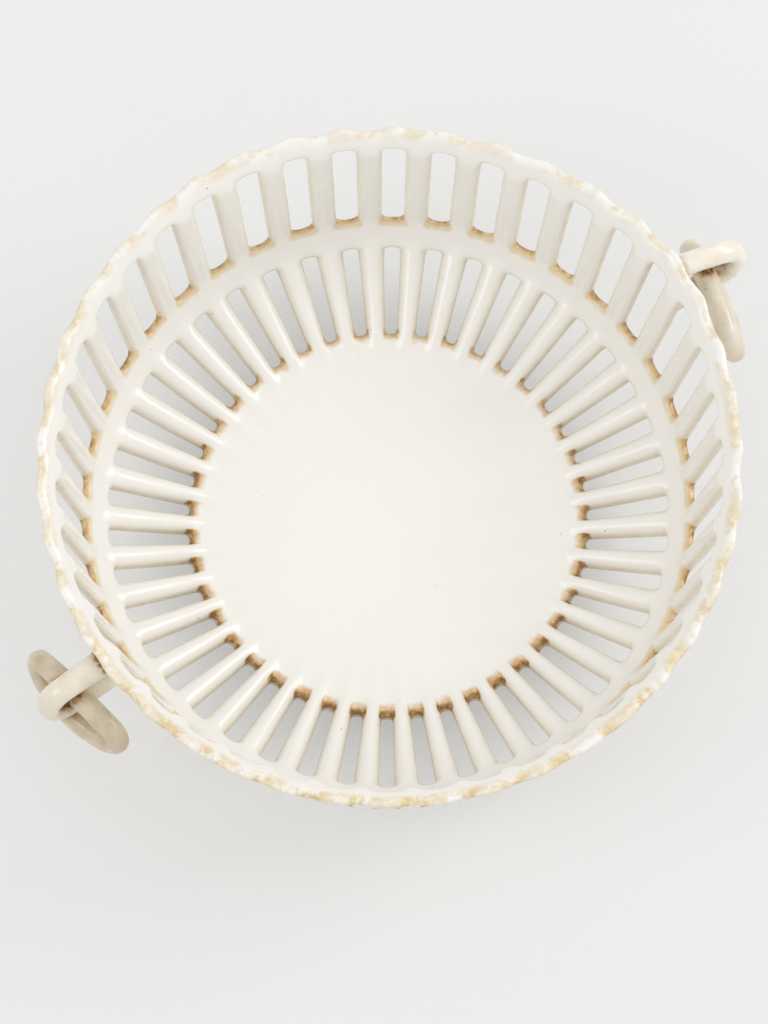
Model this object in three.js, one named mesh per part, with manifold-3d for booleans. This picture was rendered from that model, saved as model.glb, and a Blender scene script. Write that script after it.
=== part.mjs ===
// A footed creamware basket with a pierced wall, as a three.js scene graph.
// A bowl with two rows of slots and a scalloped lip stands on a turned foot ring.
// Each of its two handles is a coil of clay bent into a loop on the wall, with an oval ring linked through.
// Millimetres, +Z up. The origin is the centre of the foot's tread, and the handles lie along X.
import * as THREE from "three";
import { mergeVertices } from "three/addons/utils/BufferGeometryUtils.js";
import Module from "manifold-3d";

// Inner face of the bowl, from the floor to the lip, zone by zone: run is outwards and rise is upwards
const wellRadius = 62;
const wellHeight = 12;
const cornerRun = 8.1;
const cornerRise = 1.9;
const lowerSlotRun = 27.8;
const lowerSlotRise = 11.4;
const bandRun = 7.2;
const bandRise = 9;
const upperSlotRun = 7.6;
const upperSlotRise = 51.7;
const lipRun = 5;
const lipRise = 6.3;

// Thickness of the bowl, zone by zone
const floorWall = 6.5;
const cornerWall = 7;
const bandWall = 5;
const upperWall = 4;
const lipWall = 3.8;

// Slots, pierced through the wall in two rows, one above the other
const slotsInRow = 42;
const lowerSlotFootWidth = 5.2;
const lowerSlotHeadWidth = 7;
const upperSlotFootWidth = 8.2;
const upperSlotHeadWidth = 8.6;

// The ribs between the slots are rounded on the inner face: how far their crowns stand up. The lower ones
// run out a little way onto the floor.
const lowerRibCrown = 1.4;
const upperRibCrown = 0.5;
const ribRunout = 0.7;

// The slots were set out by eye, so their spacing is closer on one side of the bowl than on the other
const slotTurn = THREE.MathUtils.degToRad(-0.4);
const slotDrift = THREE.MathUtils.degToRad(1.3);
const slotDriftAt = THREE.MathUtils.degToRad(158);

// Scalloped lip: one lobe over each slot, one notch over each rib
const scallopDepth = 1.1;
const scallopSwell = 0.9;

// The fired wall is not quite round: it bulges out at these turns, most at the lip
const bulges = [
  { turn: THREE.MathUtils.degToRad(3), spread: THREE.MathUtils.degToRad(16), reach: 3.6 },
  { turn: THREE.MathUtils.degToRad(84), spread: THREE.MathUtils.degToRad(18), reach: 1.6 },
];

// Foot ring, luted under the floor
const footRadius = 66;
const footWidth = 7;
const footTaper = 1.6;
const treadRound = 1.2;

// Handle loop: a flattened coil that leaves the wall under the lip, bends down and comes back to the wall
const loopDrop = 10.5;
const loopPitch = 17;
const loopWidth = 9.8;
const loopThickness = 7.2;
const loopRootSpread = 1.2;
const loopRootLength = 6;

// Handle ring: a round coil closed on itself, which passes between the loop's two strands
const ringLength = 47;
const ringStrand = 7.7;
const ringLean = THREE.MathUtils.degToRad(13);
const ringBow = 2.6;

// How each handle was set by hand. The loop turns about the bowl's axis, skews from straight out, leans
// over and reaches out from the wall. The ring has its own pitch and reach, and has slid through the loop
// and yawed. Fullness is how square it is pulled: an oval at 2, and closer to a rounded oblong above that.
const rightHandle = {
  turn: THREE.MathUtils.degToRad(2.1),
  skew: THREE.MathUtils.degToRad(-14),
  loopLean: THREE.MathUtils.degToRad(8),
  loopReach: 29.9,
  ringPitch: 19.4,
  ringFullness: 2.6,
  ringReach: 13.5,
  ringSlide: -10.8,
  ringYaw: THREE.MathUtils.degToRad(-1),
};
const leftHandle = {
  turn: THREE.MathUtils.degToRad(181.4),
  skew: THREE.MathUtils.degToRad(-1.4),
  loopLean: THREE.MathUtils.degToRad(-3),
  loopReach: 28.5,
  ringPitch: 18,
  ringFullness: 2,
  ringReach: 15,
  ringSlide: 2.7,
  ringYaw: THREE.MathUtils.degToRad(11),
};

// Clearance where one piece is luted to another
const seatGap = 0.3;

// Fineness of the facets
const loopSteps = 22;
const ringSteps = 36;
const coilSides = 12;
const footSegments = 84;

const creamGlaze = new THREE.MeshStandardMaterial({ color: 0xf0ece1, roughness: 0.22, metalness: 0 });
const buffGlaze = new THREE.MeshStandardMaterial({ color: 0xd8cdb4, roughness: 0.35, metalness: 0 });

const wasm = await Module();
wasm.setup();

// The bowl's inner profile: a smooth curve through the ends of its zones, with radius as x and height as z
const zoneEnds = [
  [cornerRun, cornerRise],
  [lowerSlotRun, lowerSlotRise],
  [bandRun, bandRise],
  [upperSlotRun, upperSlotRise],
  [lipRun, lipRise],
].reduce(
  (points, [run, rise]) => {
    const last = points[points.length - 1];
    return [...points, new THREE.Vector3(last.x + run, 0, last.z + rise)];
  },
  [new THREE.Vector3(wellRadius, 0, wellHeight)],
);
const innerProfile = new THREE.CatmullRomCurve3(zoneEnds, false, "centripetal");
const zoneWalls = [floorWall, cornerWall, bandWall, upperWall, upperWall, lipWall];
const zoneNames = ["corner", "lower slots", "band", "upper slots", "lip"];
const [cornerZone, lowerSlotZone, bandZone, upperSlotZone, lipZone] = zoneNames.keys();

// Radius and height at a share of a zone, on the inner face, which a crown raises, or on the outer one
function profilePoint(zone, share, outer, crown = 0) {
  const t = (zone + share) / (zoneEnds.length - 1);
  const point = innerProfile.getPoint(t);
  const along = innerProfile.getTangent(t);
  if (!outer) return new THREE.Vector2(point.x - crown * along.z, point.z + crown * along.x);
  const [wallBelow, wallAbove] = zoneWalls.slice(zone);
  const wall = THREE.MathUtils.lerp(wallBelow, wallAbove, share);
  return new THREE.Vector2(point.x + wall * along.z, point.z - wall * along.x);
}

// Crest of the lip, halfway between its two faces and rounded over
function lipCrest() {
  const middle = profilePoint(lipZone, 1, false).add(profilePoint(lipZone, 1, true)).multiplyScalar(1 / 2);
  const along = innerProfile.getTangent(1);
  return middle.add(new THREE.Vector2(along.x, along.z).multiplyScalar(lipWall / 2));
}
const crest = lipCrest();
const rimRadius = profilePoint(lipZone, 1, true).x;
const rimHeight = crest.y;
const footHeight = wellHeight - floorWall;

// What the bulges multiply the wall's radius by: 1 at the floor and most at the lip
function bulgeFactor(angle, height) {
  const rise = THREE.MathUtils.clamp((height - wellHeight) / (rimHeight - wellHeight), 0, 1);
  const reaches = bulges.map(({ turn, spread, reach }) => {
    return reach * Math.exp((Math.cos(angle - turn) - 1) / (1 - Math.cos(spread)));
  });
  return 1 + (reaches.reduce((sum, reach) => sum + reach) / rimRadius) * rise ** 2;
}

// A row of vertices round the bowl. Where it crosses a slot, width is the slot's there, and an end row
// rounds the slot off: its edges close in and its middle moves on along the zone by bulge.
const slotCornerShare = 0.045;
const slotEndWidthShare = 0.62;
const slotBulgeShare = 0.022;
function slotRows(slotZone, footWidthHere, headWidthHere, ribCrown, middleShares) {
  const shares = [0, slotCornerShare, ...middleShares, 1 - slotCornerShare, 1];
  return shares.map((share) => {
    const width = THREE.MathUtils.lerp(footWidthHere, headWidthHere, share);
    const end = share === 0 || share === 1;
    const bulge = end ? (share === 0 ? -slotBulgeShare : slotBulgeShare) : 0;
    const crown = share === 1 ? ribCrown / 2 : ribCrown;
    return { zone: slotZone, share, width: end ? width * slotEndWidthShare : width, bulge, crown, slot: slotZone };
  });
}
const plainRow = (zone, share, scallop = 0, crown = 0) => ({ zone, share, scallop, crown });

// The rows of one face of the wall, from the floor's edge to the lip
const faceRows = [
  plainRow(cornerZone, 0),
  plainRow(cornerZone, 1 / 2, 0, ribRunout),
  ...slotRows(lowerSlotZone, lowerSlotFootWidth, lowerSlotHeadWidth, lowerRibCrown, [1 / 2]),
  plainRow(bandZone, 1 / 2),
  ...slotRows(upperSlotZone, upperSlotFootWidth, upperSlotHeadWidth, upperRibCrown, [1 / 2]),
  plainRow(lipZone, 1 / 2, 1 / 2),
  plainRow(lipZone, 1, 1),
];

// Vertices to a slot and its rib
const columnNames = ["rib", "edge", "middle", "other edge"];
const columnsPerSlot = columnNames.length;
const columns = slotsInRow * columnsPerSlot;
const pitchAngle = (2 * Math.PI) / slotsInRow;
const ribColumn = columnNames.indexOf("rib");
const middleColumn = columnNames.indexOf("middle");

const driftAt = (angle) => slotTurn + slotDrift * Math.cos(angle - slotDriftAt);

// Where a row and a column meet, on the inner or the outer face
function wallVertex(row, column, outer) {
  const turn = Math.floor(column / columnsPerSlot);
  const place = column % columnsPerSlot;
  const share = place === middleColumn && row.bulge ? row.share + row.bulge : row.share;
  const crown = !outer && place === ribColumn && row.crown ? row.crown : 0;
  const point = row.crest ? crest.clone() : profilePoint(row.zone, share, outer, crown);
  if (outer && row.zone === cornerZone && row.share === 0) point.set(footRadius, footHeight);
  const quarter = (pitchAngle * point.x) / columnsPerSlot;
  const half = (row.width ? row.width / 2 : quarter) / point.x;
  const fromMiddle = place === ribColumn ? -pitchAngle / 2 : (place - middleColumn) * half;
  const middle = (turn + 1 / 2) * pitchAngle;
  const angle = middle + fromMiddle + driftAt(place === ribColumn ? middle + fromMiddle : middle);
  const notch = ((row.scallop ?? 0) * (1 - Math.cos(slotsInRow * fromMiddle))) / 2;
  const radius = (point.x - scallopSwell * notch) * bulgeFactor(angle, point.y);
  return [radius * Math.cos(angle), radius * Math.sin(angle), point.y - scallopDepth * notch];
}

// The bowl: inner face, lip and outer face, open at the slots, whose sides join the two faces
function bowlGeometry() {
  const soup = [];
  const quad = (a, b, c, d) => soup.push(...a, ...b, ...c, ...a, ...c, ...d);
  const inSlot = (lower, upper, column) =>
    lower.slot !== undefined && lower.slot === upper.slot && column % columnsPerSlot !== ribColumn &&
    column % columnsPerSlot !== columnsPerSlot - 1;
  const lipRow = faceRows[faceRows.length - 1];
  const crestRow = { crest: true, zone: lipZone, share: 1, scallop: 1 };

  for (let column = 0; column < columns; column++) {
    const next = (column + 1) % columns;
    for (let i = 0; i + 1 < faceRows.length; i++) {
      const [lower, upper] = [faceRows[i], faceRows[i + 1]];
      if (inSlot(lower, upper, column)) continue;
      for (const outer of [false, true]) {
        const [left, right] = outer ? [column, next] : [next, column];
        quad(
          wallVertex(lower, left, outer),
          wallVertex(lower, right, outer),
          wallVertex(upper, right, outer),
          wallVertex(upper, left, outer),
        );
      }
    }
    // Rounded top of the lip, in two strips
    quad(
      wallVertex(lipRow, next, false),
      wallVertex(lipRow, column, false),
      wallVertex(crestRow, column, false),
      wallVertex(crestRow, next, false),
    );
    quad(
      wallVertex(lipRow, column, true),
      wallVertex(lipRow, next, true),
      wallVertex(crestRow, next, false),
      wallVertex(crestRow, column, false),
    );
    // Flat floor, above and below
    const edge = faceRows[0];
    soup.push(0, 0, wellHeight, ...wallVertex(edge, column, false), ...wallVertex(edge, next, false));
    soup.push(0, 0, footHeight, ...wallVertex(edge, next, true), ...wallVertex(edge, column, true));
  }

  for (const slot of [lowerSlotZone, upperSlotZone]) {
    const rows = faceRows.filter((row) => row.slot === slot);
    for (let turn = 0; turn < slotsInRow; turn++) {
      const first = turn * columnsPerSlot;
      const up = rows.map((row) => [row, first + middleColumn - 1]);
      const down = rows.map((row) => [row, first + middleColumn + 1]).reverse();
      const head = [rows[rows.length - 1], first + middleColumn];
      const foot = [rows[0], first + middleColumn];
      const outline = [...up, head, ...down, foot];
      outline.forEach(([row, column], i) => {
        const [nextRow, nextColumn] = outline[(i + 1) % outline.length];
        quad(
          wallVertex(row, column, false),
          wallVertex(nextRow, nextColumn, false),
          wallVertex(nextRow, nextColumn, true),
          wallVertex(row, column, true),
        );
      });
    }
  }
  return new THREE.BufferGeometry().setAttribute("position", new THREE.Float32BufferAttribute(soup, 3));
}

// A profile of radius and height turned about Z
function turned(profile, segments) {
  return new THREE.LatheGeometry(profile, segments).rotateX(Math.PI / 2);
}

// The foot ring: a band that narrows to a rounded tread
function footGeometry() {
  const innerRadius = footRadius - footWidth;
  const profile = [
    [innerRadius, footHeight],
    [innerRadius + footTaper, treadRound],
    [innerRadius + footTaper + treadRound, 0],
    [footRadius - footTaper - treadRound, 0],
    [footRadius - footTaper, treadRound],
    [footRadius, footHeight],
    [innerRadius, footHeight],
  ];
  return turned(profile.map(([radius, height]) => new THREE.Vector2(radius, height)), footSegments);
}

// A coil of clay: an oval section carried along a line of points. The section's width lies along across,
// which is square to the line, and its depth is square to both.
function coilGeometry(points, across, sectionAt, closed) {
  const last = points.length - 1;
  const sections = points.map((point, i) => {
    const before = points[i === 0 ? (closed ? last : 0) : i - 1];
    const after = points[i === last ? (closed ? 0 : last) : i + 1];
    const outwards = after.clone().sub(before).cross(across).normalize();
    const { width, depth } = sectionAt(i / last);
    return Array.from({ length: coilSides }, (_, side) => {
      const turn = (2 * Math.PI * side) / coilSides;
      return point
        .clone()
        .addScaledVector(outwards, (Math.cos(turn) * depth) / 2)
        .addScaledVector(across, (Math.sin(turn) * width) / 2);
    });
  });
  const soup = [];
  const triangle = (a, b, c) => soup.push(...a.toArray(), ...b.toArray(), ...c.toArray());
  for (let i = 0; i < (closed ? sections.length : last); i++) {
    const [here, there] = [sections[i], sections[(i + 1) % sections.length]];
    for (let side = 0; side < coilSides; side++) {
      const next = (side + 1) % coilSides;
      triangle(here[side], there[next], here[next]);
      triangle(here[side], there[side], there[next]);
    }
  }
  if (!closed) {
    const [start, end] = [sections[0], sections[last]];
    for (let side = 1; side + 1 < coilSides; side++) {
      triangle(start[0], start[side], start[side + 1]);
      triangle(end[0], end[side + 1], end[side]);
    }
  }
  return new THREE.BufferGeometry().setAttribute("position", new THREE.Float32BufferAttribute(soup, 3));
}

// manifold-3d wants merged positions only, and its result goes back into a BufferGeometry
function toSolid(geometry) {
  const bare = geometry.index ? geometry.toNonIndexed() : geometry.clone();
  bare.deleteAttribute("normal");
  bare.deleteAttribute("uv");
  const merged = mergeVertices(bare);
  return new wasm.Manifold(
    new wasm.Mesh({
      numProp: 3,
      vertProperties: merged.attributes.position.array,
      triVerts: new Uint32Array(merged.index.array),
    }),
  );
}
function toGeometry(solid) {
  const mesh = solid.getMesh();
  return new THREE.BufferGeometry()
    .setAttribute("position", new THREE.BufferAttribute(mesh.vertProperties, 3))
    .setIndex(new THREE.BufferAttribute(mesh.triVerts, 1));
}

// The bowl's outside, grown by the clearance and filled: what a handle's root is shaped against
function seatSolid() {
  const face = faceRows.map((row) => profilePoint(row.zone, row.share, true));
  const grown = face.map((point) => new THREE.Vector2(point.x + seatGap, point.y));
  const top = rimHeight + lipWall;
  const profile = [
    new THREE.Vector2(0, face[0].y),
    ...grown,
    new THREE.Vector2(rimRadius + seatGap, top),
    new THREE.Vector2(0, top),
  ];
  const geometry = turned(profile, columns);
  const position = geometry.attributes.position;
  for (let i = 0; i < position.count; i++) {
    const [x, y, z] = [position.getX(i), position.getY(i), position.getZ(i)];
    const factor = bulgeFactor(Math.atan2(y, x), z);
    position.setXY(i, x * factor, y * factor);
  }
  return toSolid(geometry);
}

// A handle is made with its root at the origin and reaching out along X, and then set against the wall
const loopTopHeight = crest.y - loopDrop;
const bendRadius = loopPitch / 2;
function setHandle(geometry, { turn, skew }) {
  const rootRadius = profilePoint(upperSlotZone, 1, true).x * bulgeFactor(turn, loopTopHeight);
  return geometry.rotateZ(skew).translate(rootRadius, 0, 0).rotateZ(turn);
}

// The loop: out from the wall, round the bend and back, spreading at both roots, and cut off at the wall
function loopGeometry(handle) {
  const buried = upperWall + loopRootLength;
  const bendReach = handle.loopReach - loopThickness / 2 - bendRadius;
  const path = new THREE.Path()
    .moveTo(-buried - bendReach, bendRadius)
    .lineTo(0, bendRadius)
    .absarc(0, 0, bendRadius, Math.PI / 2, -Math.PI / 2, true)
    .lineTo(-buried - bendReach, -bendRadius);
  const length = path.getLength();
  const sectionAt = (share) => {
    const fromWall = Math.min(share, 1 - share) * length - buried;
    const spread = loopRootSpread * (1 - THREE.MathUtils.smoothstep(fromWall, 0, loopRootLength));
    return { width: loopWidth + 2 * spread, depth: loopThickness + 2 * spread };
  };
  const up = new THREE.Vector3(0, Math.sin(handle.loopLean), Math.cos(handle.loopLean));
  const bendCentre = new THREE.Vector3(bendReach, 0, loopTopHeight).addScaledVector(up, -bendRadius);
  const points = path.getSpacedPoints(loopSteps).map((p) => {
    return new THREE.Vector3(p.x, 0, 0).add(bendCentre).addScaledVector(up, p.y);
  });
  const across = new THREE.Vector3(1, 0, 0).cross(up);
  const coil = setHandle(coilGeometry(points, across, sectionAt, false), handle);
  return toGeometry(toSolid(coil).subtract(seat));
}

// The ring: a squared oval. Where it crosses the loop, its upper strand lies under the loop's upper strand,
// and its lower one under the loop's lower.
function ringGeometry(handle) {
  const fullness = handle.ringFullness;
  const halfLength = (ringLength - ringStrand) / 2;
  const halfPitch = handle.ringPitch / 2;
  const stretch = (value) => Math.sign(value) * Math.abs(value) ** (2 / fullness);
  const turns = Array.from({ length: ringSteps }, (_, i) => (2 * Math.PI * i) / ringSteps);
  const outline = turns.map((turn) => {
    return new THREE.Vector3(halfLength * stretch(Math.cos(turn)), halfPitch * stretch(Math.sin(turn)), 0);
  });
  const path = new THREE.CatmullRomCurve3(outline, true);
  const along = new THREE.Vector3(-Math.sin(handle.ringYaw), Math.cos(handle.ringYaw), 0);
  const inwards = new THREE.Vector3(-Math.cos(handle.ringYaw), -Math.sin(handle.ringYaw), 0);
  const up = new THREE.Vector3(0, 0, Math.cos(ringLean)).addScaledVector(inwards, Math.sin(ringLean));
  const strandHeight = loopTopHeight - (loopThickness + ringStrand) / 2 - seatGap;
  const crossingShare = (1 - (Math.abs(handle.ringSlide) / halfLength) ** fullness) ** (1 / fullness);
  const centre = new THREE.Vector3(handle.ringReach, 0, strandHeight)
    .addScaledVector(along, handle.ringSlide)
    .addScaledVector(up, -halfPitch * crossingShare);
  const points = path.getSpacedPoints(ringSteps).slice(1).map((p) => {
    const bow = ringBow * (p.x / (ringLength / 2)) ** 2;
    return centre.clone().addScaledVector(along, p.x).addScaledVector(up, p.y).addScaledVector(inwards, bow);
  });
  const across = along.clone().cross(up);
  const sectionAt = () => ({ width: ringStrand, depth: ringStrand });
  return setHandle(coilGeometry(points, across, sectionAt, true), handle);
}

const basket = new THREE.Group();
function addPiece(name, geometry, material) {
  const mesh = new THREE.Mesh(geometry, material);
  mesh.name = name;
  basket.add(mesh);
}

addPiece("pierced_bowl", bowlGeometry(), creamGlaze);
addPiece("foot_ring", footGeometry(), creamGlaze);
const seat = seatSolid();
addPiece("right_handle_loop", loopGeometry(rightHandle), buffGlaze);
addPiece("right_handle_ring", ringGeometry(rightHandle), buffGlaze);
addPiece("left_handle_loop", loopGeometry(leftHandle), buffGlaze);
addPiece("left_handle_ring", ringGeometry(leftHandle), buffGlaze);

export default basket;
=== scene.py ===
"""Looks of the creamware basket: pierced bowl, foot ring and two linked coil handles, on a pale floor."""
import math

import bmesh
import bpy
import numpy as np
from mathutils import Matrix, Vector
from mathutils.bvhtree import BVHTree


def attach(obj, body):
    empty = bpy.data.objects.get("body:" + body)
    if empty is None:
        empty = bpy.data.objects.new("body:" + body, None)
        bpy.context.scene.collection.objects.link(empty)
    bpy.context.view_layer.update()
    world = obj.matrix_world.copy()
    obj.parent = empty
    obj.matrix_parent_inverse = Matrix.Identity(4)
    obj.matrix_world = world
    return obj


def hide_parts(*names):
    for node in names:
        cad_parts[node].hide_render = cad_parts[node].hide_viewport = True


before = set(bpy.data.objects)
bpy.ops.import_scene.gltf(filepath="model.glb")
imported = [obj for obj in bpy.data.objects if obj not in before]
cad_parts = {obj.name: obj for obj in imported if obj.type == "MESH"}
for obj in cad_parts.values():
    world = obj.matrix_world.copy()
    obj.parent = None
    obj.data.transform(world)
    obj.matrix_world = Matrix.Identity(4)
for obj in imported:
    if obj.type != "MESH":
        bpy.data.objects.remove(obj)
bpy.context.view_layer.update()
MM = 0.001

# Inner face of the wall in mm, from the floor's edge to the lip: radius, height
INNER_FACE = np.array((
    (0, 12), (62, 12), (65.77, 12.77), (70.1, 13.9), (76.38, 15.94), (84.23, 18.72), (91.97, 21.94),
    (97.9, 25.3), (100.29, 27.22), (102.12, 29.1), (103.64, 31.33), (105.1, 34.3), (107.57, 45.31),
    (109.1, 60.58), (110.53, 75.64), (112.7, 86), (113.87, 88.13), (115.13, 89.64), (117.7, 92.3),
))

# Slots: 42 to a row, with each row's widths in mm at its foot and its head
SLOTS = 42
PITCH = 2 * math.pi / SLOTS
LOWER_WIDTHS, UPPER_WIDTHS = (5.2, 7.0), (8.2, 8.6)

# How far the slots, cut by eye, drift round the wall: all of them, and those near one turn more
SLOT_DRIFT, SLOT_SWING, SWING_TURN = math.radians(-0.4), math.radians(1.3), math.radians(158)

# Turns at which the wall bulges, with how far each spreads and reaches at the lip in mm
BULGES = ((3, 16, 3.6), (84, 18, 1.6))
RIM_RADIUS, WELL_HEIGHT, RIM_HEIGHT = 121.2, 12, 92.6

# The turn at which the stain is strongest
STAINED_TURN = math.radians(235)


def linear(code):
    """A hex sRGB colour as the linear RGBA that a shader takes."""
    parts = [int(code[i:i + 2], 16) / 255 for i in (0, 2, 4)]
    return tuple(c / 12.92 if c <= 0.04045 else ((c + 0.055) / 1.055) ** 2.4 for c in parts) + (1,)


# Selecting and shaping

def deselect_all():
    for o in bpy.context.selected_objects:
        o.select_set(False)


def make_active(piece):
    deselect_all()
    piece.select_set(True)
    bpy.context.view_layer.objects.active = piece


def edit_edges(piece):
    """Opens a piece in edit mode, for picking edges, with nothing selected."""
    make_active(piece)
    bpy.ops.object.mode_set(mode="EDIT")
    bpy.ops.mesh.select_mode(type="EDGE")
    bpy.ops.mesh.select_all(action="DESELECT")
    return bmesh.from_edit_mesh(piece.data)


def pick(piece, edges):
    """Selects these edges and shows it to the operators."""
    for edge in edges:
        edge.select_set(True)
    bmesh.update_edit_mesh(piece.data)


def leave_edit():
    bpy.ops.object.mode_set(mode="OBJECT")


def finish_modifier(piece, kind, name, **settings):
    """Adds a modifier with its settings and applies it."""
    make_active(piece)
    modifier = piece.modifiers.new(name, kind)
    for key, value in settings.items():
        setattr(modifier, key, value)
    bpy.ops.object.modifier_apply(modifier=name)


def subdivide_smoothly(piece, level):
    finish_modifier(piece, "SUBSURF", "smooth", levels=level, render_levels=level, boundary_smooth="ALL")


def clay_waves(piece, height, size):
    """The slow unevenness that a hand leaves in clay: height and size in mm."""
    waves = bpy.data.textures.new(f"{piece.name}_waves", "CLOUDS")
    waves.noise_scale = size * MM
    waves.noise_depth = 1
    make_active(piece)
    modifier = piece.modifiers.new("waves", "DISPLACE")
    modifier.texture = waves
    modifier.texture_coords = "LOCAL"
    modifier.strength = 2 * height * MM
    modifier.mid_level = 0.5
    bpy.ops.object.modifier_apply(modifier="waves")


def copy_of(node, name):
    """A piece that starts as its node's shape, with the loose triangles joined into quads."""
    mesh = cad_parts[node].data.copy()
    mesh.name = name
    mesh.materials.clear()
    piece = bpy.data.objects.new(name, mesh)
    bpy.context.scene.collection.objects.link(piece)
    make_active(piece)
    bpy.ops.object.mode_set(mode="EDIT")
    bpy.ops.mesh.select_all(action="SELECT")
    bpy.ops.mesh.remove_doubles(threshold=0.00001)
    bpy.ops.mesh.tris_convert_to_quads(face_threshold=math.radians(60), shape_threshold=math.radians(60))
    leave_edit()
    return piece


# Where a point lies on the wall

def vertices_mm(piece):
    flat = np.empty(len(piece.data.vertices) * 3)
    piece.data.vertices.foreach_get("co", flat)
    return flat.reshape(-1, 3) / MM


def normals(piece):
    flat = np.empty(len(piece.data.vertices) * 3)
    piece.data.vertices.foreach_get("normal", flat)
    return flat.reshape(-1, 3)


def smoothstep(low, high, value):
    t = np.clip((value - low) / (high - low), 0, 1)
    return t * t * (3 - 2 * t)


def on_wall(points):
    """For points in mm: the angle about Z, and in mm the way up the inner face, the depth behind it and the
    distance round to the middle of the nearest slot."""
    angle = np.arctan2(points[:, 1], points[:, 0])
    rise = np.clip((points[:, 2] - WELL_HEIGHT) / (RIM_HEIGHT - WELL_HEIGHT), 0, 1)
    bulge = sum(
        reach * np.exp((np.cos(angle - math.radians(turn)) - 1) / (1 - math.cos(math.radians(spread))))
        for turn, spread, reach in BULGES
    )
    radius = np.hypot(points[:, 0], points[:, 1])
    flat = np.stack([radius / (1 + bulge / RIM_RADIUS * rise ** 2), points[:, 2]], 1)
    start, end = INNER_FACE[:-1], INNER_FACE[1:]
    step = end - start
    lengths = np.linalg.norm(step, axis=1)
    before = np.concatenate([[0], np.cumsum(lengths)[:-1]])
    nearest = np.full(len(flat), np.inf)
    way = np.zeros(len(flat))
    depth = np.zeros(len(flat))
    for i in range(len(step)):
        share = np.clip(((flat - start[i]) @ step[i]) / lengths[i] ** 2, 0, 1)
        offset = flat - (start[i] + share[:, None] * step[i])
        distance = np.linalg.norm(offset, axis=1)
        closer = distance < nearest
        side = np.sign(offset[:, 0] * step[i][1] - offset[:, 1] * step[i][0])
        nearest = np.where(closer, distance, nearest)
        way = np.where(closer, before[i] + share * lengths[i], way)
        depth = np.where(closer, distance * side, depth)
    drift = SLOT_DRIFT + SLOT_SWING * np.cos(angle - SWING_TURN)
    middle = (np.floor((angle - drift) / PITCH) + 0.5) * PITCH
    middle = middle + SLOT_DRIFT + SLOT_SWING * np.cos(middle - SWING_TURN)
    return angle, way, depth, radius * (angle - middle)


def profile_way(index):
    """How far up the inner face this point of its profile lies, in mm."""
    steps = np.linalg.norm(np.diff(INNER_FACE, axis=0), axis=1)
    return float(steps[:index].sum())


WAY_LOWER_FOOT, WAY_LOWER_HEAD = profile_way(3), profile_way(7)
WAY_UPPER_FOOT, WAY_UPPER_HEAD, WAY_LIP = profile_way(11), profile_way(15), profile_way(18)
WAY_BAND = (WAY_LOWER_HEAD + WAY_UPPER_FOOT) / 2


def half_slot(way):
    """Half a slot's width in mm this far up the wall, and the ways at which that slot starts and ends."""
    upper = way > WAY_BAND
    foot = np.where(upper, WAY_UPPER_FOOT, WAY_LOWER_FOOT)
    head = np.where(upper, WAY_UPPER_HEAD, WAY_LOWER_HEAD)
    share = np.clip((way - foot) / (head - foot), 0, 1)
    lower_half = LOWER_WIDTHS[0] + (LOWER_WIDTHS[1] - LOWER_WIDTHS[0]) * share
    upper_half = UPPER_WIDTHS[0] + (UPPER_WIDTHS[1] - UPPER_WIDTHS[0]) * share
    return np.where(upper, upper_half, lower_half) / 2, foot, head


def store(piece, name, values):
    """Keeps one number for each point, for the piece's glaze to read."""
    layer = piece.data.attributes.new(name, "FLOAT", "POINT")
    layer.data.foreach_set("value", np.asarray(values, np.float32))


# Pieces

def hold_slot_corners(bowl):
    """Gives each slot a loop of edges just inside its ends, which keeps its corners tight when the wall is
    smoothed. Of the wall's edges only a slot's sides climb it by 8 mm or more."""
    side_climb, from_end = 8, 1.6
    bm = edit_edges(bowl)
    edges = list(bm.edges)
    ends = np.array([list(v.co) for edge in edges for v in edge.verts]) / MM
    ways = on_wall(ends)[1].reshape(-1, 2)
    sides = (np.abs(ways[:, 1] - ways[:, 0]) > side_climb) & (ways.min(axis=1) > WAY_LOWER_FOOT)
    old = len(bm.verts)
    pick(bowl, [edge for edge, is_side in zip(edges, sides) if is_side])
    bpy.ops.mesh.subdivide(number_cuts=1, smoothness=0)
    bm = bmesh.from_edit_mesh(bowl.data)
    bm.verts.ensure_lookup_table()
    ways = on_wall(np.array([list(v.co) for v in bm.verts]) / MM)[1]
    places = {}
    for point in bm.verts[old:]:
        way = ways[point.index]
        foot, head = WAY_UPPER_FOOT, WAY_UPPER_HEAD
        if way < WAY_LOWER_HEAD + 2:
            foot, head = WAY_LOWER_FOOT, WAY_LOWER_HEAD
        others = [edge.other_vert(point) for edge in point.link_edges]
        along = [other for other in others if abs(ways[other.index] - way) > 3]
        end = max(along, key=lambda v: abs(ways[v.index] - (foot + head) / 2))
        places[point] = end.co + (point.co - end.co).normalized() * from_end * MM
    for point, place in places.items():
        point.co = place
    bmesh.update_edit_mesh(bowl.data)
    leave_edit()


def narrow_slots(bowl):
    """Draws the slots' sides in by what smoothing will take from the ribs, and their corners in to 0.86 of
    the slot's width, which leaves the ends as square as they were cut."""
    points = vertices_mm(bowl)
    angle, way, _, across = on_wall(points)
    half, foot, head = half_slot(way)
    near = 0.9
    beside = (np.abs(across) > 0.3 * half) & (np.abs(across) < half + 0.7)
    beside &= (way > foot - near) & (way < head + near)
    end = np.minimum(np.abs(way - foot), np.abs(way - head)) < near
    lost = np.where(way > WAY_BAND, 0.25, 0.6 - 0.1 * (way - foot) / (head - foot))
    target = (half - lost) * np.where(end, 0.86, 1)
    shift = np.where(beside, np.sign(across) * (target - np.abs(across)), 0)
    points[:, 0] -= np.sin(angle) * shift
    points[:, 1] += np.cos(angle) * shift
    bowl.data.vertices.foreach_set("co", (points * MM).ravel())
    bowl.data.update()


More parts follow.
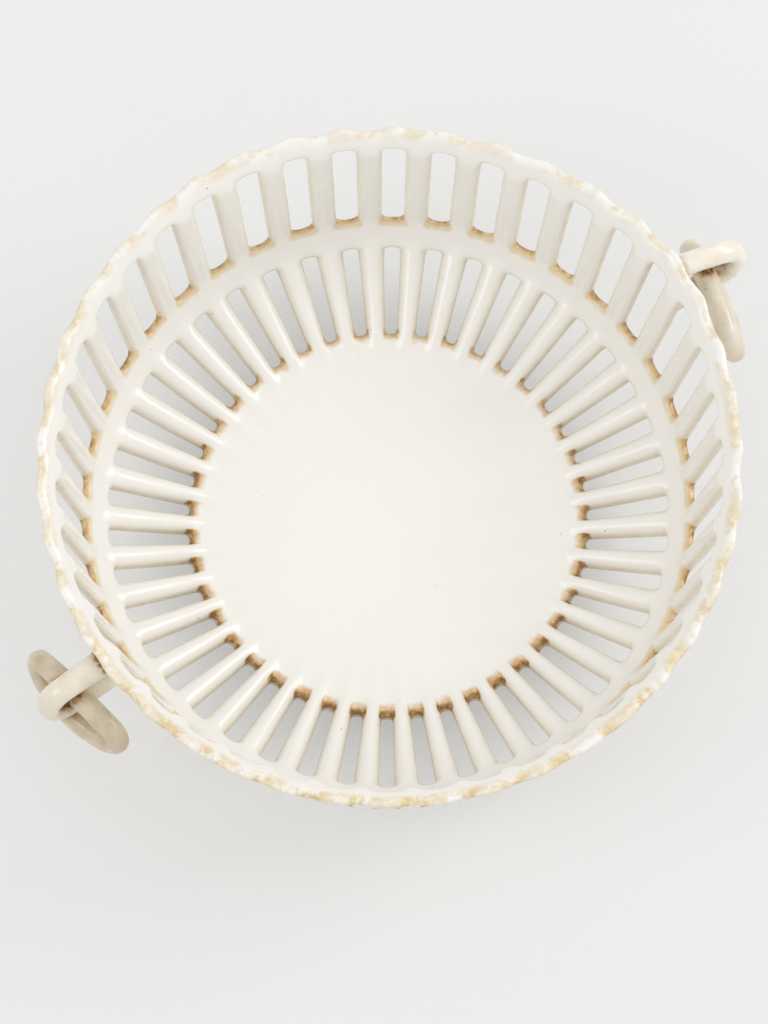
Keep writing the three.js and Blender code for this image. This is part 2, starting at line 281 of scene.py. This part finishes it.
def shape_wall(bowl):
    """Rounds the ribs, lets the lower ones run out onto the floor with a hollow between them, and makes the
    lip's lobes as uneven as fingers leave them."""
    points = vertices_mm(bowl)
    angle, way, depth, across = on_wall(points)
    radius = np.hypot(points[:, 0], points[:, 1])
    to_rib = np.clip(np.abs(across) / (np.maximum(radius, 1) * PITCH / 2), 0, 1)
    inner = (depth > -2) & (depth < 0.6)
    lower_crown, upper_crown, hollow_depth = 0.8, 0.3, 0.8
    lower = smoothstep(WAY_LOWER_FOOT - 12, WAY_LOWER_FOOT + 1, way)
    lower = lower * (1 - smoothstep(WAY_LOWER_HEAD, WAY_LOWER_HEAD + 5, way))
    upper = smoothstep(WAY_UPPER_FOOT - 3, WAY_UPPER_FOOT + 4, way)
    upper = upper * (1 - smoothstep(WAY_UPPER_HEAD - 4, WAY_UPPER_HEAD + 3, way))
    lift = np.where(inner & (to_rib > 0.9), lower_crown * lower + upper_crown * upper, 0)
    hollow = smoothstep(WAY_LOWER_FOOT - 7, WAY_LOWER_FOOT, way) * (way < WAY_LOWER_FOOT + 1)
    lift -= np.where(inner & (to_rib < 0.15), hollow_depth * hollow, 0)
    points += lift[:, None] * normals(bowl)

    notch_drop, notch_inset = 0.9, 0.8
    lip = smoothstep(WAY_UPPER_HEAD + 1, WAY_LIP, way)
    unevenness = np.random.default_rng(7).uniform(0.2, 1.3, SLOTS)
    notch = (1 - np.cos(math.pi * to_rib)) / 2 * lip
    share = unevenness[np.round(angle / PITCH).astype(int) % SLOTS]
    points[:, 2] -= notch_drop * notch * share
    points[:, :2] *= (1 - notch_inset * notch * share / np.maximum(radius, 1))[:, None]
    bowl.data.vertices.foreach_set("co", (points * MM).ravel())
    bowl.data.update()


def wipe_slot_edges(bowl):
    """Rounds the slots' edges on the inner face by 1.1 mm, as a wet finger does."""
    wiped, deepest = 1.1, 1.6
    bm = edit_edges(bowl)
    sharp = [e for e in bm.edges if len(e.link_faces) == 2 and e.calc_face_angle() > math.radians(45)]
    ends = np.array([list(v.co) for edge in sharp for v in edge.verts]) / MM
    depth = np.abs(on_wall(ends)[2]).reshape(-1, 2).max(axis=1)
    pick(bowl, [edge for edge, behind in zip(sharp, depth) if behind < deepest])
    bpy.ops.mesh.bevel(offset=wiped * MM, segments=1, affect="EDGES", clamp_overlap=True)
    leave_edit()


def mark_bowl(bowl):
    """Keeps what the glaze needs to know at each point, from 0 to 1. Distances are in mm.
    slot_ledge: an upper slot's ledge, or the hollow that runs up to a lower slot's foot, weak on the outside
    slot_depth: how far down that ledge or hollow, where the glaze darkens it, partly as stain and partly as
    painted shade
    slot_side_shade: painted shade on a slot's sides, and less of it on the ribs' flanks beside them
    slot_halo: round a slot's foot, and a little at a lower slot's top corners
    lip: the lip's top, less of it over a slot than between two"""
    points = vertices_mm(bowl)
    angle, way, depth, across = on_wall(points)
    across = np.abs(across)
    half, foot, head = half_slot(way)
    lower = way < WAY_BAND
    past_foot = way - foot
    strength = 0.78 + 0.22 * np.cos(angle - STAINED_TURN)

    inside = 1 - smoothstep(half + 0.1, half + 1.2, across)
    narrow = 1 - smoothstep(half - 0.2, half + 0.9, across)
    ledge = (1 - smoothstep(0.8, 2.4, np.abs(past_foot + 0.3))) * smoothstep(0.1, 0.9, depth) * inside * 0.78
    hollow = smoothstep(-6.8, -1.0, past_foot) ** 1.6 * (1 - smoothstep(1, 3, past_foot)) * narrow * strength
    outer_face = smoothstep(2.8, 3.8, depth)
    store(bowl, "slot_ledge", np.where(lower, hollow, ledge) * (1 - 0.8 * outer_face))
    # How far down a ledge or towards a lower slot's foot the stain darkens to brown: partly stain, partly
    # painted shade
    down_hollow = 0.85 * smoothstep(-2.2, 0.2, past_foot)
    store(bowl, "slot_depth", np.where(lower, down_hollow, smoothstep(0.2, 3.6, depth)))

    # Painted shade on a slot's sides and, less of it, on the ribs' flanks beside them
    within = smoothstep(foot - 2, foot, way) * (1 - smoothstep(head, head + 2, way))
    flank = (1 - smoothstep(half - 0.2, half + 1.8, across)) * (depth < 1.5)
    store(bowl, "slot_side_shade", np.maximum(smoothstep(-0.3, 0.8, depth) * inside, 0.5 * flank) * within)
    from_foot = np.hypot(np.maximum(across - half * 0.8, 0), past_foot)
    halo = (1 - smoothstep(0.5, 3.6, from_foot)) * (1 - smoothstep(1.5, 4, past_foot))
    halo = halo * np.where(lower, narrow, 1)
    near_head = 1 - smoothstep(0.5, 2.6, np.hypot(across - half, way - head))
    store(bowl, "slot_halo", np.maximum(halo, 0.32 * near_head * lower))

    to_rib = across / (np.maximum(np.hypot(points[:, 0], points[:, 1]), 1) * PITCH / 2)
    lip = smoothstep(WAY_LIP - 4.5, WAY_LIP - 1, way) * strength
    store(bowl, "lip", lip * (0.6 + 0.4 * smoothstep(0.3, 0.7, to_rib)))


def make_bowl():
    """The bowl, smoothed from its node and thinned to under the 200,000 triangles that a piece may have."""
    bowl = copy_of("pierced_bowl", "creamware_bowl")
    narrow_slots(bowl)
    hold_slot_corners(bowl)
    shape_wall(bowl)
    wipe_slot_edges(bowl)
    subdivide_smoothly(bowl, 2)
    clay_waves(bowl, 0.22, 30)
    finish_modifier(bowl, "DECIMATE", "thin", ratio=0.82)
    mark_bowl(bowl)
    return bowl


bowl = make_bowl()


def tree_of(*pieces):
    """These pieces' faces, for asking how near a point is to them."""
    points, faces = [], []
    for piece in pieces:
        start = len(points)
        points += [v.co.copy() for v in piece.data.vertices]
        faces += [[start + i for i in p.vertices] for p in piece.data.polygons]
    return BVHTree.FromPolygons(points, faces)


# The handle loops' coils in mm: half their thickness, the radius of the bend, the height of the upper strand
# at the bend, and how far its root climbs from there towards the lip, clear of the slots
HALF_THICK, BEND_RADIUS, STRAND_HEIGHT, ROOT_LIFT = 3.6, 8.5, 82.1, 3

# How far behind the wall's inner face the coils end in mm, which is 0.7 mm under the outer one
ROOT_DEPTH = 3.3


def press_roots(loop, out):
    """Slides a coil's open ends along it until they follow the wall's outer face, a little under it."""
    bm = bmesh.from_edit_mesh(loop.data)
    ends = [v for v in bm.verts if any(len(e.link_faces) == 1 for e in v.link_edges)]
    behind = {v: [e.other_vert(v) for e in v.link_edges if len(e.link_faces) == 2][0] for v in ends}
    for v in ends:
        slide = 0
        for _ in range(6):
            point = np.array([list(v.co + out * slide * MM)]) / MM
            slide -= float(on_wall(point)[2][0]) - ROOT_DEPTH
        for follower, share in ((v, 1), (behind[v], 0.8)):
            follower.co += out * slide * share * MM
    bmesh.update_edit_mesh(loop.data)


def make_loop(name, turn, skew, lean, reach, root_radius, half_width, drift):
    """A flattened coil drawn out of the wall, bent over and pressed back into it. Sizes in mm and degrees.
    It is drawn as by hand: an oval ring of points, pulled out, spun round the bend and pulled back, with its
    lower root drifting sideways onto a rib. The upper root spreads onto the wall."""
    turn, skew, lean = math.radians(turn), math.radians(skew), math.radians(lean)
    root = Matrix.Rotation(turn, 4, "Z") @ Matrix.Translation((root_radius, 0, 0))
    place = root @ Matrix.Rotation(skew, 4, "Z")
    out = Vector((1, 0, 0))
    up = Vector((0, math.sin(lean), math.cos(lean)))
    wide = out.cross(up)
    bend_reach = reach - HALF_THICK - BEND_RADIUS
    bend = Vector((bend_reach, 0, STRAND_HEIGHT)) - up * BEND_RADIUS
    upper_root, lower_root = bend_reach + 2.2, bend_reach + 3.6

    def at(point):
        return (place @ point) * MM

    turned = place.to_3x3()
    deselect_all()
    start = bend + up * BEND_RADIUS - out * upper_root + Vector((0, 0, ROOT_LIFT))
    along = (bend + up * BEND_RADIUS - start).normalized()
    axes = Matrix((turned @ wide, turned @ up, turned @ wide.cross(up))).transposed()
    bpy.ops.mesh.primitive_circle_add(vertices=16, radius=MM, fill_type="NOTHING", location=at(start),
                                      rotation=axes.to_euler())
    loop = bpy.context.object
    loop.name = name
    loop.data.name = name
    bpy.ops.object.transform_apply(location=True, rotation=True, scale=True)
    bpy.ops.object.mode_set(mode="EDIT")
    bpy.ops.mesh.select_all(action="SELECT")
    frame_axes = Matrix((turned @ wide, turned @ up, turned @ out)).transposed()

    def stretch(across, thick, centre):
        bpy.ops.transform.resize(value=(across, thick, 1), orient_type="GLOBAL", orient_matrix=frame_axes,
                                 orient_matrix_type="GLOBAL", center_override=at(centre))

    def pull(step, across, thick, centre):
        bpy.ops.mesh.extrude_edges_move(TRANSFORM_OT_translate={"value": (turned @ step) * MM})
        stretch(across, thick, centre + step)
        return centre + step

    stretch(half_width * 1.25, 4.4, start)
    centre = start
    for step, across, thick in ((1.6, 1.0, 1.0), (1.4, 0.93, 0.95), (2.0, 0.93, 0.93), (3.0, 0.93, 0.93)):
        centre = pull(along * step, across, thick, centre)
    centre = pull(bend + up * BEND_RADIUS - centre, 1, 1, centre)
    bpy.ops.mesh.spin(steps=9, dupli=False, angle=math.pi, center=at(bend), axis=turned @ wide)
    centre = bend - up * BEND_RADIUS
    home = centre - out * lower_root + wide * drift
    back = [3.0, 2.0, 1.2, 0.8]
    path = home + out * sum(back) - centre
    for share in (0.3, 0.4, 0.3):
        centre = pull(path * share, 1, 1, centre)
    for step, across, thick in zip(back, (0.9, 0.88, 0.9, 1.0), (1.04, 1.06, 1.04, 1.0)):
        centre = pull(-out * step, across, thick, centre)
    press_roots(loop, turned @ out)
    bpy.ops.mesh.select_mode(type="EDGE")
    bpy.ops.mesh.select_all(action="DESELECT")
    bpy.ops.mesh.select_non_manifold(extend=False)
    bpy.ops.mesh.edge_face_add()
    bpy.ops.mesh.select_all(action="SELECT")
    bpy.ops.mesh.normals_make_consistent(inside=False)
    leave_edit()
    return loop


def make_ring(node, name):
    """A ring copied from its node and drawn 0.25 mm thicker all round, so that the coils meet where they
    cross."""
    thicker = 0.25
    ring = copy_of(node, name)
    points = vertices_mm(ring)
    ring.data.vertices.foreach_set("co", ((points + thicker * normals(ring)) * MM).ravel())
    return ring


right_loop = make_loop("right_loop_coil", 2.1, -14, 8, 29.9, 118.98, 4.2, 3.2)
left_loop = make_loop("left_loop_coil", 181.4, -1.4, -3, 28.5, 116.37, 4.5, 0)
right_ring = make_ring("right_handle_ring", "right_ring_coil")
left_ring = make_ring("left_handle_ring", "left_ring_coil")
for coil in (right_loop, left_loop, right_ring, left_ring):
    subdivide_smoothly(coil, 2)
    clay_waves(coil, 0.28, 9)


def make_foot():
    """The turned foot: its edges rounded by a sponge over 0.35 mm, its tread wiped bare of glaze."""
    sponged = 0.35
    foot = copy_of("foot_ring", "creamware_foot")
    bm = edit_edges(foot)
    pick(foot, [e for e in bm.edges if len(e.link_faces) == 2 and e.calc_face_angle() > math.radians(30)])
    bpy.ops.mesh.bevel(offset=sponged * MM, segments=2, affect="EDGES", clamp_overlap=True)
    leave_edit()
    subdivide_smoothly(foot, 1)
    heights = vertices_mm(foot)[:, 2]
    store(foot, "tread", 1 - smoothstep(0.15, 0.7, heights))
    return foot


foot = make_foot()


# How many rays look for clay round each point of a coil, and how far in metres
RAYS, RAY_REACH = 28, 12 * MM


def mark_crevices(coil, everything, rays, brownness):
    """Keeps how closed in each point of a coil is, from 0 in the open to 1 deep in a crease: the share of
    short rays from it that meet clay, near clay counting for more. Keeps too the coil's share of the browner
    tone."""
    closed = []
    for v in coil.data.vertices:
        side = v.normal.orthogonal()
        turned = Matrix((side, v.normal.cross(side), v.normal)).transposed()
        start = v.co + v.normal * 0.15 * MM
        hits = [everything.ray_cast(start, turned @ ray, RAY_REACH)[3] for ray in rays]
        closed.append(sum(1 - hit / RAY_REACH for hit in hits if hit is not None) / len(rays))
    # How closed in each point is, which the glaze turns into brown stain and painted crease shade
    store(coil, "crevice", smoothstep(0.11, 0.34, np.array(closed)))
    store(coil, "brownness", np.full(len(closed), brownness))


# Each coil's share of the browner tone: most on the left ring, then the right ring, a little on the left loop
coils = {right_loop: 0, left_loop: 0.2, right_ring: 0.55, left_ring: 1}
clay = tree_of(bowl, *coils)

# Rays spread evenly over a dome by the golden angle, from near its edge to near its top
rays = []
for i in range(RAYS):
    t = math.pi * (3 - math.sqrt(5)) * i
    h = 0.12 + 0.86 * (i + 0.5) / RAYS
    rays.append(Vector((math.cos(t) * math.sqrt(1 - h * h), math.sin(t) * math.sqrt(1 - h * h), h)))
for coil, brownness in coils.items():
    mark_crevices(coil, clay, rays, brownness)


# Glazes

# Sizes in metres of what varies in the glazes: the body's tone, patches of stain, streaks in them, the
# glaze's own grain, worn places on the lip, and the coils' patches
TONE, PATCH, STREAK, GRAIN, WEAR, COIL_PATCH = 0.045, 0.007, 0.0025, 0.0016, 0.011, 0.008

# Cells in metres, each with one pinhole or none
BOWL_CELL, COIL_CELL = 0.009, 0.006

# High for a glaze, as lead makes it
LEAD_GLAZE_IOR = 1.6


def add(tree, kind, values={}, links={}, **settings):
    """Adds a shader node, with its settings, its sockets' values and its links."""
    made = tree.nodes.new("ShaderNode" + kind)
    for key, value in settings.items():
        setattr(made, key, value)
    for socket, value in values.items():
        made.inputs[socket].default_value = value
    for socket, output in links.items():
        tree.links.new(output, made.inputs[socket])
    return made


def new_material(name):
    material = bpy.data.materials.new(name)
    material.use_nodes = True
    material.node_tree.nodes.clear()
    return material, material.node_tree


def blotches(tree, mark, noise, share, low, high, most):
    """A mark whose edge is broken up by a noise, as stain spreads in clay: none where the mark and its share
    of the noise add up to less than low, and most of it above high."""
    mixed = add(tree, "Math", {1: share}, {0: noise, 2: mark}, operation="MULTIPLY_ADD").outputs[0]
    span = {"From Min": low, "From Max": high, "To Max": most}
    return add(tree, "MapRange", span, {"Value": mixed}).outputs[0]


def lead_glazed_creamware():
    """Creamware under clear lead glaze: a warm white body with wet-looking gloss. Age has stained it ochre
    where glaze pooled on the slots' ledges and where it wore thin along the lip, and pinholes show as specks.
    The foot's tread is bare clay, warmer and duller."""
    material, tree = new_material("lead_glazed_creamware")
    place = add(tree, "TexCoord").outputs["Object"]
    where = {"Vector": place}
    broad = add(tree, "TexNoise", {"Scale": 1 / TONE, "Detail": 2}, where).outputs["Fac"]
    rough_patch, rough_streak = {"Detail": 3, "Roughness": 0.6}, {"Detail": 3, "Roughness": 0.65}
    patch = add(tree, "TexNoise", {"Scale": 1 / PATCH, **rough_patch}, where).outputs["Fac"]
    mottle = add(tree, "TexNoise", {"Scale": 1 / STREAK, **rough_streak}, where).outputs["Fac"]
    grain = add(tree, "TexNoise", {"Scale": 1 / GRAIN, "Detail": 2}, where).outputs["Fac"]
    body = {6: linear("F7F5F0"), 7: linear("F4F1EA")}
    tone = add(tree, "Mix", body, {0: broad}, data_type="RGBA").outputs[2]

    # Painted shade: a tan along the slots' sides and the ribs' flanks, broken up by patches
    side = add(tree, "Attribute", attribute_name="slot_side_shade").outputs["Fac"]
    side_amount = add(tree, "MapRange", {"From Min": 0.25, "From Max": 0.75, "To Min": 0.45, "To Max": 0.95},
                      {"Value": patch}).outputs[0]
    painted_side_shade_mix = add(tree, "Math", {}, {0: side, 1: side_amount}, operation="MULTIPLY").outputs[0]
    tone = add(tree, "Mix", {7: linear("E4D8C0")}, {0: painted_side_shade_mix, 6: tone}, data_type="RGBA").outputs[2]

    halo = add(tree, "Attribute", attribute_name="slot_halo").outputs["Fac"]
    halo_mix = blotches(tree, halo, mottle, 0.7, 0.52, 1.3, 0.85)
    tone = add(tree, "Mix", {7: linear("E3CDA2")}, {0: halo_mix, 6: tone}, data_type="RGBA").outputs[2]

    ledge = add(tree, "Attribute", attribute_name="slot_ledge").outputs["Fac"]
    streak = add(tree, "MapRange", {"From Min": 0.35, "From Max": 0.62}, {"Value": mottle}).outputs[0]
    streaked = add(tree, "MapRange", {"To Min": 0.5}, {"Value": streak}).outputs[0]
    pooled = blotches(tree, ledge, patch, 1, 0.8, 1.35, 1)
    ledge_mix = add(tree, "Math", {}, {0: pooled, 1: streaked}, operation="MULTIPLY").outputs[0]
    ochres = {6: linear("E2BF88"), 7: linear("C99854")}
    ledge_tone = add(tree, "Mix", ochres, {0: patch}, data_type="RGBA").outputs[2]
    tone = add(tree, "Mix", {}, {0: ledge_mix, 6: tone, 7: ledge_tone}, data_type="RGBA").outputs[2]
    # Darker brown further down the upper ledges and towards the lower slots' feet: partly a deeper stain,
    # partly painted shade in the slots
    depth = add(tree, "Attribute", attribute_name="slot_depth").outputs["Fac"]
    deep = add(tree, "Math", {}, {0: ledge_mix, 1: depth}, operation="MULTIPLY").outputs[0]
    deep_stain_and_shade_mix = blotches(tree, deep, mottle, 0.8, 0.55, 1.15, 0.9)
    tone = add(tree, "Mix", {7: linear("8C6029")}, {0: deep_stain_and_shade_mix, 6: tone}, data_type="RGBA").outputs[2]

    lip = add(tree, "Attribute", attribute_name="lip").outputs["Fac"]
    wear = add(tree, "TexNoise", {"Scale": 1 / WEAR, "Detail": 4, "Roughness": 0.6}, where).outputs["Fac"]
    worn = blotches(tree, wear, mottle, 0.35, 0.58, 0.71, 0.95)
    worn_mix = add(tree, "Math", {}, {0: lip, 1: worn}, operation="MULTIPLY").outputs[0]
    straws = {6: linear("EFE1BC"), 7: linear("DCBF85")}
    worn_tone = add(tree, "Mix", straws, {0: streak}, data_type="RGBA").outputs[2]
    tone = add(tree, "Mix", {}, {0: worn_mix, 6: tone, 7: worn_tone}, data_type="RGBA").outputs[2]

    tread = add(tree, "Attribute", attribute_name="tread").outputs["Fac"]
    bare = add(tree, "Math", {1: 0.7}, {0: tread}, operation="MULTIPLY").outputs[0]
    tone = add(tree, "Mix", {7: linear("D6C4A0")}, {0: bare, 6: tone}, data_type="RGBA").outputs[2]

    # Pinholes: some of the cells of 9 mm have a speck about half a millimetre across, more or less dark
    cell = add(tree, "TexVoronoi", {"Scale": 1 / BOWL_CELL}, where).outputs
    dot = {"From Min": 0.04, "From Max": 0.02}
    speck = add(tree, "MapRange", dot, {"Value": cell["Distance"]}).outputs[0]
    chosen = add(tree, "MapRange", {"From Min": 0.5, "From Max": 0.8}, {"Value": cell["Color"]}).outputs[0]
    speck_mix = add(tree, "Math", {}, {0: speck, 1: chosen}, operation="MULTIPLY").outputs[0]
    tone = add(tree, "Mix", {7: linear("9A8F80")}, {0: speck_mix, 6: tone}, data_type="RGBA").outputs[2]

    rough = add(tree, "MapRange", {"To Min": 0.22, "To Max": 0.34}, {"Value": worn_mix}).outputs[0]
    bump = add(tree, "Bump", {"Strength": 0.25, "Distance": 0.0002}, {"Height": grain}).outputs[0]
    drawn = {"Base Color": tone, "Roughness": rough, "Normal": bump}
    shader = add(tree, "BsdfPrincipled", {"IOR": LEAD_GLAZE_IOR}, drawn)
    add(tree, "OutputMaterial", {}, {"Surface": shader.outputs["BSDF"]})
    return material


def buff_handle_glaze():
    """Buff clay coils under the same glaze, warmer and, the more of the browner tone a coil is given, darker
    than the bowl.
    The creases where the coils cross turn browner and darker by how closed in they are, partly stain and
    partly painted shade, and pinholes show as dark dots."""
    material, tree = new_material("buff_handle_glaze")
    place = add(tree, "TexCoord").outputs["Object"]
    where = {"Vector": place}
    rough_patch, rough_streak = {"Detail": 3, "Roughness": 0.6}, {"Detail": 3, "Roughness": 0.65}
    patch = add(tree, "TexNoise", {"Scale": 1 / COIL_PATCH, **rough_patch}, where).outputs["Fac"]
    mottle = add(tree, "TexNoise", {"Scale": 1 / STREAK, **rough_streak}, where).outputs["Fac"]
    grain = add(tree, "TexNoise", {"Scale": 1 / GRAIN, "Detail": 2}, where).outputs["Fac"]
    amount = add(tree, "MapRange", {"From Min": 0.35, "From Max": 0.65}, {"Value": patch}).outputs[0]
    buffs, browns = {6: linear("F8F4EA"), 7: linear("EFE5D0")}, {6: linear("DACDB5"), 7: linear("C6B698")}
    pale = add(tree, "Mix", buffs, {0: amount}, data_type="RGBA").outputs[2]
    brown = add(tree, "Mix", browns, {0: amount}, data_type="RGBA").outputs[2]
    # More of the browner tone on the rings, and on the left handle than on the right
    brownness = add(tree, "Attribute", attribute_name="brownness").outputs["Fac"]
    tone = add(tree, "Mix", {}, {0: brownness, 6: pale, 7: brown}, data_type="RGBA").outputs[2]

    # Browner and darker in the creases, by how closed in they are: partly stain, partly painted shade
    crevice = add(tree, "Attribute", attribute_name="crevice").outputs["Fac"]
    crease_amount = add(tree, "MapRange", {"From Min": 0.32, "From Max": 0.6, "To Min": 0.5, "To Max": 1},
                        {"Value": mottle}).outputs[0]
    crease = add(tree, "Math", {}, {0: crevice, 1: crease_amount}, operation="MULTIPLY").outputs[0]
    tone = add(tree, "Mix", {7: linear("C0935A")}, {0: crease, 6: tone}, data_type="RGBA").outputs[2]
    deepest_crease_stain_and_shade = add(tree, "Math", {1: 3}, {0: crease}, operation="POWER").outputs[0]
    tone = add(tree, "Mix", {7: linear("6F4A26")}, {0: deepest_crease_stain_and_shade, 6: tone}, data_type="RGBA").outputs[2]

    cell = add(tree, "TexVoronoi", {"Scale": 1 / COIL_CELL}, where).outputs
    dot = {"From Min": 0.06, "From Max": 0.03}
    speck = add(tree, "MapRange", dot, {"Value": cell["Distance"]}).outputs[0]
    chosen = add(tree, "MapRange", {"From Min": 0.6, "From Max": 0.64}, {"Value": cell["Color"]}).outputs[0]
    speck_mix = add(tree, "Math", {}, {0: speck, 1: chosen}, operation="MULTIPLY").outputs[0]
    tone = add(tree, "Mix", {7: linear("8B7552")}, {0: speck_mix, 6: tone}, data_type="RGBA").outputs[2]

    bump = add(tree, "Bump", {"Strength": 0.3, "Distance": 0.0002}, {"Height": grain}).outputs[0]
    gloss = {"Roughness": 0.22, "IOR": LEAD_GLAZE_IOR}
    shader = add(tree, "BsdfPrincipled", gloss, {"Base Color": tone, "Normal": bump})
    add(tree, "OutputMaterial", {}, {"Surface": shader.outputs["BSDF"]})
    return material


cream = lead_glazed_creamware()
buff = buff_handle_glaze()

for piece, material, slot, nodes in (
    (bowl, cream, "cream_glaze", ("pierced_bowl",)),
    (foot, cream, "cream_glaze", ("foot_ring",)),
    (right_loop, buff, "buff_glaze", ("right_handle_loop",)),
    (right_ring, buff, "buff_glaze", ("right_handle_ring",)),
    (left_loop, buff, "buff_glaze", ("left_handle_loop",)),
    (left_ring, buff, "buff_glaze", ("left_handle_ring",)),
):
    make_active(piece)
    bpy.ops.object.shade_smooth()
    piece.data.materials.append(material)
    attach(piece, "root")
    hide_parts(*nodes)

# The floor that the basket stands on: matt paper. For the camera a third of its tone is a plain glow, which
# keeps the shade that shows through the slots as pale as in a bright room
GLOW_SHARE = 0.35
deselect_all()
bpy.ops.mesh.primitive_plane_add(size=6, location=(0, 0, 0))
floor = bpy.context.object
floor.name = "pale_floor"
paper, tree = new_material("matt_pale_paper")
shader = add(tree, "BsdfPrincipled", {"Base Color": linear("EBEBEA"), "Roughness": 0.9}).outputs["BSDF"]
pale = add(tree, "Emission", {"Color": linear("ECECEB")}).outputs[0]
from_camera = add(tree, "LightPath").outputs["Is Camera Ray"]
share = add(tree, "Math", {1: GLOW_SHARE}, {0: from_camera}, operation="MULTIPLY").outputs[0]
mixed = add(tree, "MixShader", {}, {0: share, 1: shader, 2: pale}).outputs[0]
add(tree, "OutputMaterial", {}, {"Surface": mixed})
floor.data.materials.append(paper)

# Camera, from the fit of the rim and the slots: lengths in mm, angles in radians. Its frame is turned from
# the part's about Z, and lies near the rim's height
FOCAL_PIXELS, DISTANCE, ELEVATION, AIM_X, AIM_Y, ROLL = 4500.18, 1519.37, 1.30145, -1.49, -18.07, 0.01919
FRAME_TURN, FRAME_LIFT = math.radians(-35.15), 91
PICTURE_HEIGHT, SENSOR_HEIGHT = 1024, 36
forward = Vector((0, math.cos(ELEVATION), -math.sin(ELEVATION)))
level = Vector((1, 0, 0))
upward = Vector((0, math.sin(ELEVATION), math.cos(ELEVATION)))
right = level * math.cos(ROLL) + upward * math.sin(ROLL)
top = upward * math.cos(ROLL) - level * math.sin(ROLL)
spot = Vector((AIM_X, AIM_Y, 0)) - forward * DISTANCE
turn = Matrix.Rotation(FRAME_TURN, 3, "Z")
camera_data = bpy.data.cameras.new("camera")
camera_data.sensor_fit = "VERTICAL"
camera_data.sensor_height = SENSOR_HEIGHT
camera_data.lens = FOCAL_PIXELS / PICTURE_HEIGHT * SENSOR_HEIGHT
camera = bpy.data.objects.new("camera", camera_data)
axes = Matrix((turn @ right, turn @ top, turn @ -forward)).transposed().to_4x4()
camera.matrix_world = Matrix.Translation((turn @ spot + Vector((0, 0, FRAME_LIFT))) * MM) @ axes
bpy.context.scene.collection.objects.link(camera)
bpy.context.scene.camera = camera


def softbox(name, place, size, power):
    """A large area lamp that faces the bowl. Its place is in the camera's turned frame. Metres and watts."""
    data = bpy.data.lights.new(name, "AREA")
    data.shape = "RECTANGLE"
    data.size, data.size_y = size
    data.energy = power
    lamp = bpy.data.objects.new(name, data)
    spot = turn @ Vector(place)
    lamp.location = spot
    lamp.rotation_euler = (Vector((0, 0, 0.04)) - spot).to_track_quat("-Z", "Y").to_euler()
    bpy.context.scene.collection.objects.link(lamp)


softbox("window_light", (1.5, 0.5, 1.15), (0.9, 0.9), 10)
softbox("reflector", (-1.0, -0.35, 1.2), (0.6, 0.6), 3)

# A pale room: its light from the level and below, its light from overhead, and the tone that the camera sees
LEVEL_LIGHT, TOP_LIGHT, SEEN_TONE = 0.62, 0.91, 0.82
world = bpy.data.worlds.new("pale_room")
world.use_nodes = True
sky = world.node_tree
background = sky.nodes["Background"]
background.inputs["Color"].default_value = linear("FFFFFF")
height = add(sky, "SeparateXYZ", {}, {"Vector": add(sky, "TexCoord").outputs["Generated"]}).outputs["Z"]
glow = add(sky, "MapRange", {"To Min": LEVEL_LIGHT, "To Max": TOP_LIGHT}, {"Value": height}).outputs[0]
seen = add(sky, "LightPath").outputs["Is Camera Ray"]
strength = add(sky, "Mix", {3: SEEN_TONE}, {0: seen, 2: glow}, data_type="FLOAT").outputs[0]
sky.links.new(strength, background.inputs["Strength"])
bpy.context.scene.world = world
bpy.context.scene.view_settings.view_transform = "Standard"
